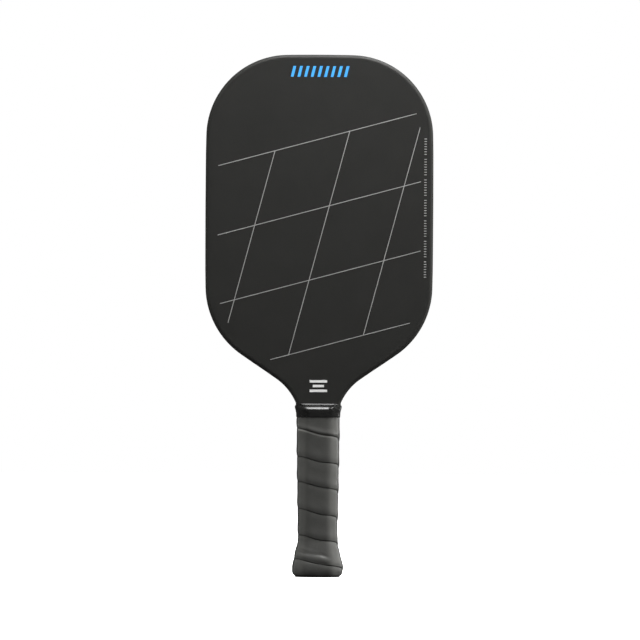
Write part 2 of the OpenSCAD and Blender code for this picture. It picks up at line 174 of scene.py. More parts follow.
class Shader:
    """One principled material and the few node recipes that the materials here share."""

    # Metres between the bands of a wave texture whose scale is 1
    BAND_SCALE = 0.314

    def __init__(self, name, colour, rough):
        self.mat = bpy.data.materials.new(name)
        self.mat.use_nodes = True
        self.tree = self.mat.node_tree
        self.bsdf = self.tree.nodes["Principled BSDF"]
        self.set("Base Color", (*colour, 1))
        self.set("Roughness", rough)
        self.place = self.tree.nodes.new("ShaderNodeTexCoord").outputs["Object"]
        self.normal = None

    def set(self, socket, value):
        self.bsdf.inputs[socket].default_value = value

    def link(self, source, target):
        self.tree.links.new(source, target)

    def stretched(self, scale):
        node = self.tree.nodes.new("ShaderNodeMapping")
        node.inputs["Scale"].default_value = scale
        self.link(self.place, node.inputs["Vector"])
        return node.outputs["Vector"]

    def noise(self, size, detail=3.0, place=None):
        """Noise whose grain is about size millimetres."""
        node = self.tree.nodes.new("ShaderNodeTexNoise")
        node.inputs["Scale"].default_value = 1 / (size * MM)
        node.inputs["Detail"].default_value = detail
        self.link(place or self.place, node.inputs["Vector"])
        return node.outputs["Fac"]

    def cells(self, size, feature="F1", place=None):
        """Distance inside cells of about size millimetres."""
        node = self.tree.nodes.new("ShaderNodeTexVoronoi")
        node.feature = feature
        node.inputs["Scale"].default_value = 1 / (size * MM)
        self.link(place or self.place, node.inputs["Vector"])
        return node.outputs["Distance"]

    def bands(self, size, direction, distortion=0.0, rings=False):
        """Parallel bands, or rings about an axis, that repeat every size millimetres."""
        node = self.tree.nodes.new("ShaderNodeTexWave")
        node.wave_type = "RINGS" if rings else "BANDS"
        if rings:
            node.rings_direction = direction
        else:
            node.bands_direction = direction
        node.inputs["Scale"].default_value = self.BAND_SCALE / (size * MM)
        node.inputs["Distortion"].default_value = distortion
        self.link(self.place, node.inputs["Vector"])
        return node.outputs["Fac"]

    def attribute(self, name):
        node = self.tree.nodes.new("ShaderNodeAttribute")
        node.attribute_name = name
        return node.outputs["Fac"]

    def maths(self, operation, first, second):
        node = self.tree.nodes.new("ShaderNodeMath")
        node.operation = operation
        for socket, value in zip(node.inputs, (first, second)):
            if isinstance(value, (int, float)):
                socket.default_value = value
            else:
                self.link(value, socket)
        return node.outputs[0]

    def spread(self, source, low, high, start=0.3, end=0.7):
        """Maps source from the span start to end onto low to high."""
        node = self.tree.nodes.new("ShaderNodeMapRange")
        set_span(node, start, end, low, high)
        self.link(source, node.inputs["Value"])
        return node.outputs["Result"]

    def tint(self, factor, dark, light):
        """Colour between dark and light by factor."""
        node = self.tree.nodes.new("ShaderNodeMix")
        node.data_type = "RGBA"
        self.link(factor, node.inputs["Factor"])
        for socket, value in ((node.inputs[6], dark), (node.inputs[7], light)):
            if isinstance(value, tuple):
                socket.default_value = (*value, 1)
            else:
                self.link(value, socket)
        return node.outputs[2]

    def painted_edge_shade(self, source, dark, start, end):
        """Source with painted shade, falling to dark as the surface turns away from the eye: 0 is face on
        and 1 edge on.
        """
        node = self.tree.nodes.new("ShaderNodeLayerWeight")
        node.inputs["Blend"].default_value = 0.5
        return self.tint(self.spread(node.outputs["Facing"], 0, 1, start, end), source, dark)

    def colour(self, source):
        self.link(source, self.bsdf.inputs["Base Color"])

    def roughness(self, source):
        self.link(source, self.bsdf.inputs["Roughness"])

    def bump(self, height, depth, strength=1.0):
        """Adds a bump whose full height is depth millimetres on top of the ones before."""
        node = self.tree.nodes.new("ShaderNodeBump")
        node.inputs["Strength"].default_value = strength
        node.inputs["Distance"].default_value = depth * MM
        self.link(height, node.inputs["Height"])
        if self.normal is not None:
            self.link(self.normal, node.inputs["Normal"])
        self.normal = node.outputs["Normal"]
        self.link(self.normal, self.bsdf.inputs["Normal"])


def scaled(colour, factor):
    return tuple(c * factor for c in colour)


# Painted shade: how dark the face and the grip get where they turn edge on, as a share of their colour
EDGE_SHADE = 0.1


def face_material():
    """Matt charcoal playing face: fine grit over a faint cloth imprint."""
    base = (0.017, 0.017, 0.0158)
    s = Shader("face_charcoal", base, 0.6)
    mottle = s.spread(s.noise(22, 2), 0, 1)
    grit = s.noise(0.55, 4)
    paint = s.tint(mottle, scaled(base, 0.95), scaled(base, 1.05))
    # Painted shade where the face turns edge on
    s.colour(s.painted_edge_shade(paint, scaled(base, EDGE_SHADE), 0.3, 0.55))
    s.roughness(s.spread(grit, 0.54, 0.68))
    s.bump(s.noise(1.6, 2), 0.02)
    s.bump(grit, 0.03)
    s.set("Specular IOR Level", 0.2)
    return s.mat


def grip_material():
    """Synthetic leather: pebbled grain, soft sheen, a painted highlight along a strip edge below the top
    lap, and painted shade with a duller finish in the seams.
    """
    base = (0.049, 0.049, 0.0458)
    s = Shader("grip_synthetic_leather", base, 0.45)
    seam = s.attribute("seam")
    mottle = s.spread(s.noise(9, 3), 0, 1)
    grain = s.cells(0.75)
    skin = s.tint(mottle, scaled(base, 0.93), scaled(base, 1.08))
    # Painted highlight along the strip edge below the top lap
    highlighted = s.tint(s.attribute("painted_edge_highlight"), skin, scaled(base, 4.4))
    # Painted shade in the seams
    seam_shaded = s.tint(seam, highlighted, scaled(base, 0.35))
    # Painted shade where the grip turns edge on
    s.colour(s.painted_edge_shade(seam_shaded, scaled(base, EDGE_SHADE), 0.42, 0.68))
    s.roughness(s.maths("ADD", s.spread(s.noise(1.2, 3), 0.38, 0.48), s.maths("MULTIPLY", seam, 0.3)))
    s.bump(grain, 0.035)
    s.bump(s.noise(0.35, 3), 0.02)
    s.bump(s.noise(5, 2), 0.1)
    s.set("Specular IOR Level", 0.5)
    return s.mat


def collar_material():
    """Glossy black rubber, a little uneven from stretching."""
    base = (0.0075, 0.0075, 0.0072)
    s = Shader("collar_rubber", base, 0.24)
    cloud = s.noise(3.5, 1)
    s.colour(s.tint(s.spread(cloud, 0, 1), scaled(base, 0.8), scaled(base, 1.3)))
    s.roughness(s.spread(s.noise(1.8, 3), 0.21, 0.28))
    s.bump(cloud, 0.016)
    s.set("Specular IOR Level", 0.36)
    return s.mat


def cap_material():
    """Moulded black plastic with a spark-eroded surface."""
    base = (0.012, 0.012, 0.012)
    s = Shader("cap_moulded_plastic", base, 0.5)
    pits = s.noise(0.45, 4)
    s.colour(s.tint(s.spread(s.noise(6, 2), 0, 1), scaled(base, 0.85), scaled(base, 1.2)))
    s.roughness(s.spread(pits, 0.42, 0.6))
    s.bump(pits, 0.03)
    return s.mat


def disc_material():
    """Smooth dark plastic with fine turned rings."""
    base = (0.022, 0.022, 0.023)
    s = Shader("disc_satin_plastic", base, 0.3)
    rings = s.bands(0.6, "Z", rings=True)
    s.colour(s.tint(s.spread(s.noise(4, 2), 0, 1), scaled(base, 0.9), scaled(base, 1.15)))
    s.roughness(s.spread(s.noise(1.5, 3), 0.24, 0.36))
    s.bump(rings, 0.02)
    return s.mat


def ink_material(name, base):
    """Flat printed ink that is slightly uneven where it lies on the grit."""
    s = Shader(name, base, 0.5)
    speckle = s.noise(0.5, 4)
    s.colour(s.tint(s.spread(speckle, 0, 1), scaled(base, 0.9), scaled(base, 1.06)))
    s.roughness(s.spread(s.noise(1.2, 2), 0.42, 0.6))
    s.bump(speckle, 0.01)
    return s.mat


def carbon_material():
    """Bare twill carbon laminate under resin."""
    base = (0.028, 0.028, 0.029)
    s = Shader("carbon_laminate", base, 0.35)
    warp = s.bands(2.0, "DIAGONAL")
    weft = s.bands(2.0, "Z")
    twill = s.maths("MULTIPLY", warp, weft)
    s.colour(s.tint(twill, scaled(base, 0.6), scaled(base, 1.8)))
    s.roughness(s.spread(s.noise(0.6, 3), 0.28, 0.42))
    s.bump(twill, 0.05)
    return s.mat


def honeycomb_material():
    """Milky polypropylene with faint drawn streaks through the thickness."""
    base = (0.74, 0.75, 0.72)
    s = Shader("core_polypropylene", base, 0.4)
    streaks = s.noise(1.5, 3, s.stretched((1, 0.15, 1)))
    s.colour(s.tint(s.spread(streaks, 0, 1), scaled(base, 0.88), scaled(base, 1.06)))
    s.roughness(s.spread(streaks, 0.34, 0.5))
    s.bump(streaks, 0.03)
    s.set("Subsurface Weight", 0.25)
    s.set("Subsurface Scale", 2 * MM)
    return s.mat


def veil_material():
    """Non-woven fibre veil: crossed random strands."""
    base = (0.8, 0.8, 0.76)
    s = Shader("core_fibre_veil", base, 0.85)
    strands = s.maths(
        "ADD",
        s.noise(1.0, 4, s.stretched((0.12, 1, 1))),
        s.noise(1.0, 4, s.stretched((1, 1, 0.12))),
    )
    s.colour(s.tint(s.spread(strands, 0, 1, 0.8, 1.2), scaled(base, 0.8), scaled(base, 1.05)))
    s.bump(strands, 0.08)
    return s.mat


def foam_material(name, base, size):
    """Closed-cell foam: small round cells of a given size in millimetres."""
    s = Shader(name, base, 0.8)
    bubbles = s.cells(size)
    s.colour(s.tint(s.spread(bubbles, 0, 1, 0.1, 0.7), scaled(base, 0.78), scaled(base, 1.05)))
    s.roughness(s.spread(s.noise(2, 2), 0.7, 0.9))
    s.bump(bubbles, 0.12)
    return s.mat


def tape_material(name, base, thread):
    """Plain-weave tape with a thread of a given size in millimetres."""
    s = Shader(name, base, 0.7)
    weave = s.maths("MULTIPLY", s.bands(thread, "X", 0.6), s.bands(thread, "Z", 0.6))
    s.colour(s.tint(weave, scaled(base, 0.75), scaled(base, 1.08)))
    s.roughness(s.spread(s.noise(3, 2), 0.6, 0.8))
    s.bump(weave, 0.04)
    return s.mat


def steel_material():
    """Plated staple wire with drawing lines."""
    base = (0.6, 0.6, 0.61)
    s = Shader("staple_steel", base, 0.3)
    lines = s.noise(0.3, 3, s.stretched((1, 0.1, 1)))
    s.colour(s.tint(s.spread(lines, 0, 1), scaled(base, 0.85), scaled(base, 1.08)))
    s.roughness(s.spread(lines, 0.22, 0.4))
    s.bump(lines, 0.01)
    s.set("Metallic", 1.0)
    return s.mat


def paint_nodes(material, *names):
    """Gives CAD nodes that stay in view, or inside, their material."""
    for name in names:
        for slot in NODES[name].material_slots:
            slot.material = material


# ------------------------------------------------------------------ panel

RIM_R = 3.0
SKIN_T = 0.6
# Groove at the parting line between the two skins
SEAM_W, SEAM_DEPTH = 0.22, 0.14
BEND_STEPS = 10
# The first row lies this far in from the bend, which keeps the flat face flat
FLAT_MARGIN = 0.8
# The outline is refined down to this distance under the collar's foot; the tang is straight below it
TANG_DROP = 30


def flat_edge():
    """Right half of the flat face's edge from the crown to the tang, as (x, z), from the CAD skin."""
    found = set()
    for vertex in NODES["back_face_skin"].data.vertices:
        x, y, z = vertex.co / MM
        if y > HALF_T - 0.01 and x > -0.01:
            found.add((round(max(x, 0.0), 3), round(z, 3)))
    return np.array(sorted(found, key=lambda p: -p[1]))


def refined(points, parts):
    """Smooth curve through unevenly spaced points, with parts steps between each two."""
    before = points[1] * (-1, 1)
    after = 2 * points[-1] - points[-2]
    chords = np.diff(np.vstack([before, points, after]), axis=0)
    lengths = np.linalg.norm(chords, axis=1)[:, None]
    units = chords / lengths
    headings = units[:-1] + units[1:]
    headings /= np.linalg.norm(headings, axis=1)[:, None]
    run = []
    for i in range(len(points) - 1):
        reach = lengths[i + 1]
        for k in range(parts):
            t = k / parts
            s = 1 - t
            run.append(
                (1 + 2 * t) * s ** 2 * points[i] + t ** 2 * (3 - 2 * t) * points[i + 1]
                + t * s ** 2 * reach * headings[i] - t ** 2 * s * reach * headings[i + 1]
            )
    run.append(points[-1])
    return np.array(run)


def edge_run():
    """Points of the flat face's edge and their outward directions, all round, clockwise from the crown."""
    coarse = flat_edge()
    in_tang = coarse[:, 1] < COLLAR_LOW.z - TANG_DROP
    tang, head = coarse[in_tang], refined(coarse[~in_tang], 3)
    right = np.vstack([head, tang])
    left = right[:0:-1] * (-1, 1)
    points = np.vstack([right, left])
    ahead, behind = np.roll(points, -1, axis=0), np.roll(points, 1, axis=0)
    before = points - behind
    after = ahead - points
    before /= np.linalg.norm(before, axis=1)[:, None]
    after /= np.linalg.norm(after, axis=1)[:, None]
    normal_before = np.stack([-before[:, 1], before[:, 0]], 1)
    normal_after = np.stack([-after[:, 1], after[:, 0]], 1)
    out = normal_before + normal_after
    out /= (out * normal_after).sum(1)[:, None]
    return points, out


def rim_profile():
    """Rolled rim from the flat face to the parting line, then back along the inside, as [out, y]."""
    flat = HALF_T - RIM_R
    outer = [(-FLAT_MARGIN, HALF_T)]
    for k in range(BEND_STEPS + 1):
        a = math.radians(90 * k / BEND_STEPS)
        outer.append((RIM_R * math.sin(a), flat + RIM_R * math.cos(a)))
    outer += [(RIM_R, flat / 2), (RIM_R, 2 * SEAM_W), (RIM_R - 0.02, SEAM_W), (RIM_R - SEAM_DEPTH, 0.0)]
    inner = [(RIM_R - SKIN_T, 0.0)]
    bend = RIM_R - SKIN_T
    for k in range(BEND_STEPS, -1, -2):
        a = math.radians(90 * k / BEND_STEPS)
        inner.append((bend * math.sin(a), flat + bend * math.cos(a)))
    return outer + inner


def panel_shell(name, side, material, node):
    """One carbon skin: a flat face with its rim rolled to the middle of the edge, as a closed shell.
    side is 1 for the back face and -1 for the front face."""
    points, out = edge_run()
    count = len(points)
    profile = rim_profile()
    loops = []
    for offset, y in profile:
        ring = points + out * offset
        loops.append([(x, side * y, z) for x, z in ring])
    verts, faces = loft(loops, capped=False)
    last = (len(loops) - 1) * count
    half = count // 2
    for base, flip in ((0, False), (last, True)):
        for i in range(half):
            quad = [base + i, base + i + 1, base + (count - i - 1) % count, base + (count - i) % count]
            quad = list(dict.fromkeys(quad))
            if len(quad) > 2:
                faces.append(tuple(reversed(quad)) if flip else tuple(quad))
    face_outward(new_piece(name, verts, faces, material, node))


# ------------------------------------------------------------------ grip

# Half sizes that the octagon is drawn at before each row is scaled, and its rounding
MEAN_A, MEAN_B, GRIP_SPREAD = 16.5, 13.8, 3.2
# Chamfers of the handle's octagon, as shares of its half width and half depth
CUT_X, CUT_Y = 0.45, 0.43
# Height of each turn's seam at the left side of the handle
SEAM_Z = np.array([-26.0, -5.0, 17.0, 35.9, 57.3, 78.9, 99.0, 121.4, 143.0, 165.0])
# The turn that climbs over the flare, and the topmost turn in view
FLARE_TURN, TOP_TURN = 2, 7
# Each seam sags on the flats: by how much, at which share of the way round first, and how often
SEAM_SAG, SAG_AT, SAG_EVERY = 1.0, 0.262, 0.25
# The reach of the seams' painted shade and duller finish, the unevenness of the strip, and how far below
# the collar both fade out
SEAM_REACH, SWELL_H, COLLAR_FADE = 0.3, 0.05, 1.5
# Shares of the way round over which the details of the front come in and go out
FOLD_IN = (0, 0.07)
LAP_IN, LAP_OUT = (0.03, 0.12), (0.36, 0.44)
HIGHLIGHT_IN, HIGHLIGHT_OUT = (0, 0.06), (0.26, 0.44)
# Relief of the strip: height over the base surface against distance above its lower edge
LOWER_EDGE = np.array([
    (0, -0.42), (0.14, -0.2), (0.35, -0.02), (0.8, 0.08), (1.5, 0.17), (2.3, 0.27), (3.1, 0.34),
    (4.0, 0.36), (4.7, 0.335), (5.3, 0.305), (5.8, 0.277), (6.3, 0.247), (6.8, 0.215), (7.3, 0.18),
    (7.8, 0.15), (8.3, 0.126), (8.8, 0.104), (9.4, 0.08), (10.2, 0.05), (11.2, 0.02), (12.2, 0.0),
])
# The same against distance below its upper edge
UPPER_EDGE = np.array([
    (6.5, 0), (4.2, -0.02), (2.8, -0.07), (1.9, -0.14), (1.2, -0.24), (0.65, -0.34), (0.25, -0.45),
    (0, -0.55),
])
# Least height left between those two tables' rows on a low turn
ROW_GAP = 0.6


def eased_profile():
    """Smooth tables of the wrapped handle's heights, half widths and half depths, from the CAD grip."""
    tree = surface_tree("grip_wrap")
    step, spread = 0.5, 2.0
    low, high = WRAP_LOW.z + 0.01, WRAP_HIGH.z - 0.01
    heights = np.arange(low, high, step)
    sizes = np.array([half_sizes(tree, z) for z in heights])
    reach = int(3 * spread)
    kernel = np.exp(-0.5 * (np.arange(-reach, reach + 1) / spread) ** 2)
    kernel /= kernel.sum()
    ends = np.vstack([2 * sizes[0] - sizes[reach:0:-1], sizes, 2 * sizes[-1] - sizes[-2:-reach - 2:-1]])
    smooth = [np.convolve(ends[:, i], kernel, mode="valid") for i in (0, 1)]
    return heights, smooth[0], smooth[1]


def seam_height(turn, share):
    """Height of a seam at a share of the way round from the left, front first."""
    run = SEAM_Z[turn] + (SEAM_Z[turn - 1] - SEAM_Z[turn]) * share
    travel = turn - share
    sag = SEAM_SAG * (1 + 0.25 * np.sin(2.4 * travel))
    return run - sag * 0.5 * (1 + np.cos(2 * np.pi * (share - SAG_AT) / SAG_EVERY))


def eased(value, start, end):
    """0 before start, 1 after end, and a smooth step between."""
    t = min(1.0, max(0.0, (value - start) / (end - start)))
    return t * t * (3 - 2 * t)


# Roll of the strip above the seam on the flare: relief against distance above the seam
ROLL = np.array([
    (0, -0.15), (0.8, -0.28), (1.6, -0.05), (2.4, 0.15), (3.2, 0.29), (4.0, 0.37), (4.8, 0.4),
    (5.6, 0.35), (6.4, 0.195), (7.2, -0.04), (8.0, -0.2), (8.8, -0.16), (9.6, -0.07), (10.5, 0),
])
# Where that table has its crease
ROLL_CREASE = 7.2
# Across the front, at x in millimetres: height of the crease, strength of the roll, and of a second pucker
FOLD_ACROSS = np.array([
    (-18.0, 5.0, 0.0, 0.0), (-16.0, 5.2, 0.5, 0.1), (-13.6, 5.0, 0.75, 0.6), (-11.2, 4.9, 0.8, 0.9),
    (-8.8, 5.3, 0.5, 0.75), (-6.4, 5.5, 0.4, 0.5), (-4.0, 6.0, 0.5, 0.25), (-1.6, 6.4, 0.65, 0.1),
    (0.8, 6.8, 0.85, 0), (3.2, 7.1, 1.15, 0), (5.6, 6.7, 1.05, 0), (8.0, 6.2, 0.5, 0),
    (10.4, 6.0, 0.1, 0), (12.0, 6.0, 0, 0),
])
# Distance of the second pucker above the seam, its height and its reach
PUCKER_Z, PUCKER_H, PUCKER_R = 9.0, 0.16, 1.0


def flare_fold(above, x):
    """Rolled lower edge of the lowest full turn, where the strip climbs over the front of the flare."""
    crease, roll, pucker = (np.interp(x, FOLD_ACROSS[:, 0], FOLD_ACROSS[:, k]) for k in (1, 2, 3))
    rolled = np.interp(above * ROLL_CREASE / crease, ROLL[:, 0], ROLL[:, 1])
    return roll * rolled + pucker * PUCKER_H * math.exp(-((above - PUCKER_Z) / PUCKER_R) ** 2)


# The topmost turn laps over the end of the strip, which lifts its lower edge: relief above its seam
TOP_LAP = np.array([
    (0, 0), (0.4, 0.15), (1.0, 0.55), (1.5, 0.62), (2.0, 0.54), (3.0, 0.24), (4.0, 0.02), (5.0, -0.09),
    (6.5, -0.08), (9.0, 0),
])
# Painted highlight along the strip's upper edge that shows below that lap: its distance below the seam,
# and its reach
HIGHLIGHT_DROP, HIGHLIGHT_REACH = 0.85, 0.6

# The row halfway up a turn: its relief, and a distance from any seam that is as good as none
MIDDLE_H, NO_SEAM = 0.01, 99.0

# Fullness of the strip over the foot of the flare: relief against height
FOOT = np.array([(1.3, 0.42), (3.0, 0.58), (4.0, 0.56), (5.0, 0.47), (7.0, 0.27), (9.2, 0)])


def grip_rows(turn, share):
    """Rows of [height, relief, distance from a seam] of one turn at a share of the way round."""
    low, high = seam_height(turn, share), seam_height(turn + 1, share)
    squeeze = min(1.0, (high - low - ROW_GAP) / (LOWER_EDGE[-1, 0] + UPPER_EDGE[0, 0]))
    rows = [(low + t * squeeze, h, t) for t, h in LOWER_EDGE]
    middle_low, middle_high = rows[-1][0], high - UPPER_EDGE[0, 0] * squeeze
    rows += [(middle_low + (middle_high - middle_low) * 0.5, MIDDLE_H, NO_SEAM)]
    return rows + [(high - t * squeeze, h, t) for t, h in UPPER_EDGE]


def grip_surface():
    """Points, faces and point marks of the outside of the wrapped grip, as a helical grid."""
    section = octagon(MEAN_A, MEAN_B, MEAN_A * CUT_X, MEAN_B * CUT_Y, GRIP_SPREAD)
    count = len(section)
    closed = np.vstack([section, section[:1]])
    run = np.concatenate([[0], np.cumsum(np.linalg.norm(np.diff(closed, axis=0), axis=1))])
    shares = run[:-1] / run[-1]
    tangent = np.roll(section, -1, axis=0) - np.roll(section, 1, axis=0)
    tangent /= np.linalg.norm(tangent, axis=1)[:, None]
    outward = np.stack([tangent[:, 1], -tangent[:, 0]], 1)
    unit = section / (MEAN_A, MEAN_B)
    heights, widths, depths = eased_profile()
    turns = range(1, len(SEAM_Z) - 1)
    rows_per_turn = len(LOWER_EDGE) + 1 + len(UPPER_EDGE)
    verts, seams, edge_highlights = [], [], []
    for turn in turns:
        columns = [grip_rows(turn, share) for share in shares]
        lows = [seam_height(turn, share) for share in shares]
        for row in range(rows_per_turn):
            for j in range(count):
                z, relief, near = columns[j][row]
                half = (np.interp(z, heights, widths), np.interp(z, heights, depths))
                swell = SWELL_H * noise.noise(Vector((unit[j][0] * 2.3, unit[j][1] * 2, z / 9)))
                above = z - lows[j]
                if turn == FLARE_TURN and section[j][1] < 0:
                    relief += eased(shares[j], *FOLD_IN) * flare_fold(above, unit[j][0] * half[0])
                if turn == TOP_TURN:
                    front = eased(shares[j], *LAP_IN) * (1 - eased(shares[j], *LAP_OUT))
                    relief += front * np.interp(above, TOP_LAP[:, 0], TOP_LAP[:, 1])
                relief += np.interp(z, FOOT[:, 0], FOOT[:, 1])
                clear = min(1.0, max(0.0, (COLLAR_LOW.z - z) / COLLAR_FADE))
                point = unit[j] * half + outward[j] * (relief + swell) * clear
                verts.append((point[0], point[1], z))
                # Nearness to a seam, which the material turns into painted shade and a duller finish
                seams.append(math.exp(-near / SEAM_REACH) * clear)
                # Painted highlight mark along the upper edge of the turn below the top lap, fading out
                # across the front
                highlight_share = eased(shares[j], *HIGHLIGHT_IN) * (1 - eased(shares[j], *HIGHLIGHT_OUT))
                highlight_share *= turn == TOP_TURN - 1 and row > len(LOWER_EDGE)
                edge_highlights.append(highlight_share * math.exp(-((near - HIGHLIGHT_DROP) / HIGHLIGHT_REACH) ** 2))
    total = rows_per_turn * len(turns)
    faces = []
    for row in range(total - 1):
        for j in range(count):
            if j + 1 < count:
                right, right_up = row * count + j + 1, (row + 1) * count + j + 1
            elif row >= rows_per_turn:
                right, right_up = (row - rows_per_turn) * count, (row + 1 - rows_per_turn) * count
            else:
                continue
            faces.append((row * count + j, right, right_up, (row + 1) * count + j))
    return verts, faces, {"seam": seams, "painted_edge_highlight": edge_highlights}


def cut_flat(bm, z, clear_above=False, clear_below=False):
    """Cuts the mesh at a height, in millimetres, and optionally drops one side."""
    bmesh.ops.bisect_plane(
        bm, geom=bm.verts[:] + bm.edges[:] + bm.faces[:], dist=1e-7,
        plane_co=(0, 0, z * MM), plane_no=(0, 0, 1), clear_outer=clear_above, clear_inner=clear_below,
    )


def open_edges(bm, z):
    """Edges of the open rim at a height, in millimetres."""
    def level(edge):
        return all(abs(v.co.z - z * MM) < 1e-6 for v in edge.verts)

    return [edge for edge in bm.edges if edge.is_boundary and level(edge)]


def grow_inner(bm, edges, z, half):
    """Extrudes an open rim to a ring of the given half sizes at a height, and returns the ring's edges."""
    made = bmesh.ops.extrude_edge_only(bm, edges=edges)["geom"]
    ring = [item for item in made if isinstance(item, bmesh.types.BMVert)]
    reach = [max(abs(v.co[axis]) for v in ring) for axis in (0, 1)]
    for vertex in ring:
        vertex.co.x *= half[0] * MM / reach[0]
        vertex.co.y *= half[1] * MM / reach[1]
        vertex.co.z = z * MM
    return [item for item in made if isinstance(item, bmesh.types.BMEdge)]


# Height of the cap's flare above the foot of the grip
FLARE_H = 7.8


def close_inside(bm, low, high):
    """Lines the sleeve from its foot to its top with the CAD grip's own bore."""
    tree = surface_tree("grip_wrap")
    just_in = 0.05
    foot, top = open_edges(bm, low), open_edges(bm, high)
    for z in (low, WRAP_LOW.z + FLARE_H, CAP_HIGH.z + 1):
        foot = grow_inner(bm, foot, z, bore_sizes(tree, max(z, low + just_in)))
    top = grow_inner(bm, top, high, bore_sizes(tree, high - just_in))
    bmesh.ops.bridge_loops(bm, edges=foot + top)


def grip_wrap(material):
    """The cushioned strip wound up the handle, with skived edges that overlap at each turn."""
    verts, faces, marks = grip_surface()
    piece = new_piece("grip_spiral_wrap", verts, faces, material, "grip_wrap")
    for mark, values in marks.items():
        attribute = piece.data.attributes.new(mark, "FLOAT", "POINT")
        attribute.data.foreach_set("value", np.array(values, np.float32))
    bm = bmesh.new()
    bm.from_mesh(piece.data)
    low, high = WRAP_LOW.z, WRAP_HIGH.z - 0.1
    cut_flat(bm, low, clear_below=True)
    cut_flat(bm, high, clear_above=True)
    lip_r, lip_steps = 0.5, 4
    for k in range(1, lip_steps + 1):
        cut_flat(bm, low + lip_r * (1 - math.cos(math.radians(90 * k / lip_steps))))
    for vertex in bm.verts:
        rise = (vertex.co.z / MM - low) / lip_r
        if rise < 1:
            tuck = lip_r * (1 - math.sqrt(max(0.0, 1 - (1 - rise) ** 2)))
            flat = Vector((vertex.co.x, vertex.co.y, 0))
            vertex.co -= flat.normalized() * tuck * MM
    close_inside(bm, low, high)
    bmesh.ops.dissolve_degenerate(bm, edges=bm.edges, dist=1e-6)
    bmesh.ops.recalc_face_normals(bm, faces=bm.faces)
    bm.to_mesh(piece.data)
    bm.free()
    for polygon in piece.data.polygons:
        polygon.use_smooth = True


# ------------------------------------------------------------------ collar

# Air between the rubber and what it grips, so that no faces coincide
LIP_GAP = 0.06


def collar_stations():
    """Rows of [z, half width, half depth, chamfer x, chamfer y, rounding] round the collar's section."""
    low, top = COLLAR_LOW.z, COLLAR_HIGH.z
    panel, wrap = surface_tree("back_face_skin"), surface_tree("grip_wrap")
    a, b = half_sizes(wrap, WRAP_HIGH.z - 0.1)
    lip_a = half_sizes(panel, top)[0] + LIP_GAP
    step_a = half_sizes(panel, WRAP_HIGH.z)[0] + LIP_GAP
    lip_b = HALF_T + LIP_GAP
    outside = [
        (low + 0.05, a + 0.1, b + 0.1, 7.4, 5.7, 3.4),
        (low, a + 0.22, b + 0.22, 7.4, 5.7, 3.4),
        (low + 0.2, a + 0.4, b + 0.4, 7.4, 5.7, 3.4),
        (low + 0.7, a + 0.48, b + 0.5, 7.4, 5.7, 3.4),
        (low + 2.2, a + 0.55, b + 0.54, 7.4, 5.7, 3.3),
        (top - 7.2, a + 0.64, b + 0.6, 7.4, 5.7, 3.2),
        (top - 5.8, a + 0.96, b + 0.62, 7.4, 5.7, 3.0),
        (top - 5.2, a + 1.1, b + 0.53, 7.4, 5.7, 2.9),
        (top - 4.6, a + 1.25, b + 0.32, 7.4, 5.7, 2.8),
        (top - 3.9, a + 1.45, b - 0.08, 7.4, 5.6, 2.7),
        (top - 3.2, a + 1.6, b - 0.64, 7.3, 5.4, 2.6),
        (top - 2.6, a + 1.68, b - 1.26, 7.1, 5.1, 2.6),
        (top - 2.2, a + 1.62, b - 1.98, 6.7, 4.8, 2.5),
        (top - 1.95, a + 1.5, b - 3.1, 6.2, 4.4, 2.4),
        (top - 1.7, a + 1.3, lip_b + 1.25, 5.4, 4.0, 2.3),
        (top - 1.45, a + 1.12, lip_b + 0.72, 4.8, 3.8, 2.2),
        (top - 1.15, a + 0.98, lip_b + 0.62, 4.4, 3.7, 2.1),
        (top - 0.9, a + 0.92, lip_b + 0.86, 4.2, 3.6, 2.0),
        (top - 0.6, a + 0.88, lip_b + 0.76, 4.0, 3.5, 1.9),
        (top - 0.25, a + 0.82, lip_b + 0.5, 3.9, 3.4, 1.9),
        (top - 0.05, lip_a + 0.25, lip_b + 0.28, 3.8, 3.3, 1.9),
        (top, lip_a + 0.12, lip_b + 0.12, 3.7, 3.2, 1.9),
    ]
    inside = [
        (top - 0.2, lip_a, lip_b, 3.6, 3.1, 1.9),
        (WRAP_HIGH.z + 0.4, step_a + 0.2, lip_b, 3.6, 3.1, 1.9),
        (WRAP_HIGH.z + 0.2, a + 0.06, b + 0.06, 7.4, 5.7, 3.4),
        (low + 0.05, a + 0.06, b + 0.06, 7.4, 5.7, 3.4),
    ]
    return outside, inside


def eased_rows(rows, parts):
    """Smooth rows through the given ones, with parts steps between each two."""
    table = np.array(rows)
    padded = np.vstack([2 * table[0] - table[1], table, 2 * table[-1] - table[-2]])
    smooth = []
    for i in range(1, len(padded) - 2):
        p0, p1, p2, p3 = padded[i - 1:i + 3]
        for k in range(parts):
            t = k / parts
            smooth.append(
                0.5 * (2 * p1 + (p2 - p0) * t + (2 * p0 - 5 * p1 + 4 * p2 - p3) * t ** 2
                       + (3 * p1 - p0 - 3 * p2 + p3) * t ** 3)
            )
    smooth.append(padded[-2])
    return smooth


# Ends of a pinched ridge in the rubber at the right of the front, as (x, z), its height and reach
PINCH_TOP, PINCH_END = Vector((14.8, 138.3)), Vector((10.4, 135.3))
PINCH_H, PINCH_R = 0.9, 1.0


def pinched(point):
    """Lifts a point of the collar's front towards the viewer where it is near the pinched ridge."""
    x, y, z = point
    if y > 0:
        return point
    run = PINCH_END - PINCH_TOP
    share = min(1.0, max(0.0, (Vector((x, z)) - PINCH_TOP).dot(run) / run.length_squared))
    off = (Vector((x, z)) - PINCH_TOP - run * share).length
    return x, y - PINCH_H * math.exp(-(off / PINCH_R) ** 2), z


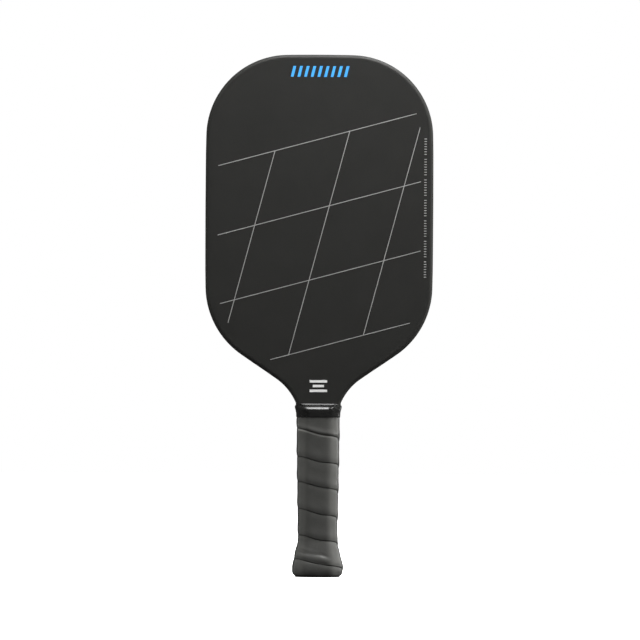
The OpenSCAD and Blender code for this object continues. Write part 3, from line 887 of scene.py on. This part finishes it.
def collar(material):
    """Rubber collar: a skirt over the grip, a rounded shoulder, and a thin lip round the neck."""
    outside, inside = collar_stations()
    rows = eased_rows(outside, 2) + inside
    loops = [raised(octagon(a, b, cx, cy, r), z) for z, a, b, cx, cy, r in rows]
    loops.append(loops[0])
    verts, faces = loft(loops, capped=False)
    verts = [pinched(v) for v in verts]
    piece = new_piece("grip_rubber_collar", verts, faces, material, "grip_collar")
    face_outward(piece, join=True)


# ------------------------------------------------------------------ butt

def butt_cap(material):
    """Flared cap: a flat end with a recess for the disc, a thin flange, and a cup under the grip."""
    cap_cut_x, cap_cut_y, rounding = 7.6, 6.4, 2.4
    recess_r = DISC_HIGH.x + 0.1
    recess_z = DISC_HIGH.z + 0.02
    flange = WRAP_LOW.z - 0.08
    a, b = CAP_HIGH.x, CAP_HIGH.y

    def octo(inset, z):
        return raised(octagon(a - inset, b - inset, cap_cut_x, cap_cut_y, rounding), z)

    outline = octagon(a, b, cap_cut_x, cap_cut_y, rounding)
    angles = np.arctan2(outline[:, 1], outline[:, 0])

    def ring(r, z):
        return [(r * math.cos(t), r * math.sin(t), z) for t in angles]

    top = CAP_HIGH.z
    loops = [
        # recess with a softened mouth
        ring(recess_r * 0.3, recess_z), ring(recess_r, recess_z), ring(recess_r, 0.12),
        ring(recess_r + 0.12, 0),
        # flat end, round edge and flange
        octo(2.2, 0), octo(1.5, 0), octo(0.85, 0.1), octo(0.35, 0.35), octo(0.08, 0.75),
        octo(0, flange - 0.15), octo(0.15, flange), octo(0.8, flange),
        # flare under the grip, rim and the inside of the cup
        octo(0.8, flange + 0.8), octo(0.2, 9.2), octo(a - 14.25, top), octo(a - 13.95, top),
        octo(a - 13.8, 12), octo(a - 13.7, 2.7), octo(a - 5, 2.7),
    ]
    verts, faces = loft(loops)
    face_outward(new_piece("butt_end_cap", verts, faces, material, "butt_cap"))


def butt_disc(material):
    """Plain disc with a softened edge and one raised ring."""
    r, t = DISC_HIGH.x, DISC_HIGH.z
    profile = [
        (0.05, 0.16), (r * 0.62, 0.16), (r * 0.65, 0.1), (r * 0.68, 0.06), (r * 0.74, 0.06),
        (r * 0.77, 0.1), (r * 0.8, 0.16), (r - 0.35, 0.16), (r - 0.1, 0.2), (r, 0.3), (r, t), (0.05, t),
    ]
    steps = 96
    angles = [2 * math.pi * k / steps for k in range(steps)]
    loops = [[(q * math.cos(turn), q * math.sin(turn), z) for turn in angles] for q, z in profile]
    verts, faces = loft(loops)
    face_outward(new_piece("butt_end_disc", verts, faces, material, "butt_cap_disc"))


# ------------------------------------------------------------------ stage

# Strength of the surroundings and grey of the floor as the object meets them
DIM_WORLD, DULL_FLOOR = 0.02, 0.04
# Glow of the floor to the eye: strength near the object and far off, and the distances between
GLOW_NEAR, GLOW_FAR, GLOW_START, GLOW_END = 0.93, 1.0, 0.1, 0.6


def camera_only(tree, bright, dim):
    """A mix of two shaders: bright as the camera sees it, dim as the object sees it."""
    path = tree.nodes.new("ShaderNodeLightPath")
    mix = tree.nodes.new("ShaderNodeMixShader")
    tree.links.new(path.outputs["Is Camera Ray"], mix.inputs[0])
    tree.links.new(dim, mix.inputs[1])
    tree.links.new(bright, mix.inputs[2])
    return mix.outputs[0]


def backdrop():
    """White surroundings to the eye that light the object only a little."""
    world = bpy.data.worlds.new("studio")
    bpy.context.scene.world = world
    world.use_nodes = True
    tree = world.node_tree
    tree.nodes.clear()
    output = tree.nodes.new("ShaderNodeOutputWorld")
    white = tree.nodes.new("ShaderNodeBackground")
    white.inputs["Color"].default_value = (1, 1, 1, 1)
    dim = tree.nodes.new("ShaderNodeBackground")
    dim.inputs["Color"].default_value = (1, 1, 1, 1)
    dim.inputs["Strength"].default_value = DIM_WORLD
    tree.links.new(camera_only(tree, white.outputs[0], dim.outputs[0]), output.inputs["Surface"])


def floor():
    """Plain pale floor just under the butt."""
    half = 4.0
    mesh = bpy.data.meshes.new("floor")
    corners = [(-half, -half, 0), (half, -half, 0), (half, half, 0), (-half, half, 0)]
    mesh.from_pydata(corners, [], [(0, 1, 2, 3)])
    plane = bpy.data.objects.new("floor", mesh)
    plane.location.z = -0.3 * MM
    bpy.context.scene.collection.objects.link(plane)
    material = bpy.data.materials.new("floor_pale")
    material.use_nodes = True
    tree = material.node_tree
    tree.nodes.clear()
    output = tree.nodes.new("ShaderNodeOutputMaterial")
    glow = tree.nodes.new("ShaderNodeEmission")
    place = tree.nodes.new("ShaderNodeTexCoord")
    away = tree.nodes.new("ShaderNodeVectorMath")
    away.operation = "LENGTH"
    tree.links.new(place.outputs["Object"], away.inputs[0])
    fade = tree.nodes.new("ShaderNodeMapRange")
    set_span(fade, GLOW_START, GLOW_END, GLOW_NEAR, GLOW_FAR)
    tree.links.new(away.outputs["Value"], fade.inputs["Value"])
    tree.links.new(fade.outputs["Result"], glow.inputs["Strength"])
    pale = tree.nodes.new("ShaderNodeBsdfDiffuse")
    pale.inputs["Color"].default_value = (0.9, 0.9, 0.9, 1)
    seen = tree.nodes.new("ShaderNodeAddShader")
    tree.links.new(glow.outputs[0], seen.inputs[0])
    tree.links.new(pale.outputs[0], seen.inputs[1])
    dull = tree.nodes.new("ShaderNodeBsdfDiffuse")
    dull.inputs["Color"].default_value = (DULL_FLOOR, DULL_FLOOR, DULL_FLOOR, 1)
    tree.links.new(camera_only(tree, seen.outputs[0], dull.outputs[0]), output.inputs["Surface"])
    mesh.materials.append(material)


def softbox(name, azimuth, elevation, distance, width, height, brightness, aim_z=0.2, glossy=True):
    """A rectangular area light that the camera doesn't see; azimuth is 0 in front and 90 on the right."""
    turn, rise = math.radians(azimuth), math.radians(elevation)
    aim = Vector((0, 0, aim_z))
    toward = Vector((math.sin(turn) * math.cos(rise), -math.cos(turn) * math.cos(rise), math.sin(rise)))
    light = bpy.data.lights.new(name, "AREA")
    light.shape = "RECTANGLE"
    light.size, light.size_y = width, height
    light.energy = brightness * math.pi * width * height
    lamp = bpy.data.objects.new(name, light)
    bpy.context.scene.collection.objects.link(lamp)
    lamp.location = aim + toward * distance
    lamp.rotation_mode = "QUATERNION"
    lamp.rotation_quaternion = toward.to_track_quat("Z", "Y")
    lamp.visible_camera = False
    lamp.visible_glossy = glossy


def lights():
    """Large soft boxes. Those that aren't glossy light the object but don't show as reflections."""
    softbox("top_box", 50, 72, 0.9, 0.8, 0.5, 24.5, 0.25)
    softbox("front_box", 32, 16, 1.6, 1.0, 1.0, 4.0, glossy=False)
    softbox("front_low", 10, -8, 2.0, 1.2, 0.8, 0.45)
    softbox("right_fill", 100, 5, 1.1, 0.5, 0.9, 36, 0.12, glossy=False)
    softbox("right_rim", 112, 5, 1.3, 0.35, 1.0, 6, 0.12)
    softbox("left_fill", -100, 5, 1.2, 0.6, 0.9, 21, 0.12, glossy=False)
    softbox("back_box", 200, 50, 2.0, 1.4, 1.4, 3.0, glossy=False)


def camera():
    """Front view, straight on, from far enough that the perspective is slight."""
    view_h, distance = 0.51406, 6.0
    axis_x, axis_z, roll = 0.001, 0.20623, -0.32
    data = bpy.data.cameras.new("front_camera")
    data.sensor_width = 36
    data.lens = data.sensor_width * distance / view_h
    cam = bpy.data.objects.new("front_camera", data)
    bpy.context.scene.collection.objects.link(cam)
    cam.location = (axis_x, -distance, axis_z)
    cam.rotation_euler = (math.radians(90), math.radians(roll), 0)
    bpy.context.scene.camera = cam


def build():
    """Rebuilds the visible pieces and gives every CAD node that is carried over its material."""
    face = face_material()
    panel_shell("front_panel_shell", -1, face, "front_face_skin")
    panel_shell("back_panel_shell", 1, face, "back_face_skin")
    grip_wrap(grip_material())
    collar(collar_material())
    butt_cap(cap_material())
    butt_disc(disc_material())
    paint_nodes(ink_material("line_ink_grey", (0.27, 0.27, 0.265)), "front_line_print", "back_line_print")
    paint_nodes(ink_material("bar_ink_blue", (0.05, 0.34, 0.8)), "front_bar_print", "back_bar_print")
    paint_nodes(ink_material("mark_ink_white", (0.7, 0.7, 0.69)), "front_mark_print", "back_mark_print")
    paint_nodes(carbon_material(), "edge_wall")
    paint_nodes(honeycomb_material(), "honeycomb_core")
    paint_nodes(veil_material(), "front_core_scrim", "back_core_scrim")
    paint_nodes(foam_material("edge_closed_cell_foam", (0.72, 0.68, 0.55), 0.9), "edge_foam")
    handle_foam = foam_material("handle_dense_foam", (0.55, 0.45, 0.32), 0.6)
    paint_nodes(handle_foam, "front_handle_pallet", "back_handle_pallet")
    paint_nodes(tape_material("adhesive_cloth_tape", (0.7, 0.67, 0.58), 0.8), "grip_adhesive_tape")
    paint_nodes(tape_material("finishing_vinyl_tape", (0.02, 0.02, 0.02), 1.4), "finishing_tape")
    paint_nodes(steel_material(), "butt_cap_staples", "grip_start_staple")


build()
backdrop()
floor()
lights()
camera()
bpy.context.scene.view_settings.view_transform = "Standard"
bpy.context.view_layer.update()
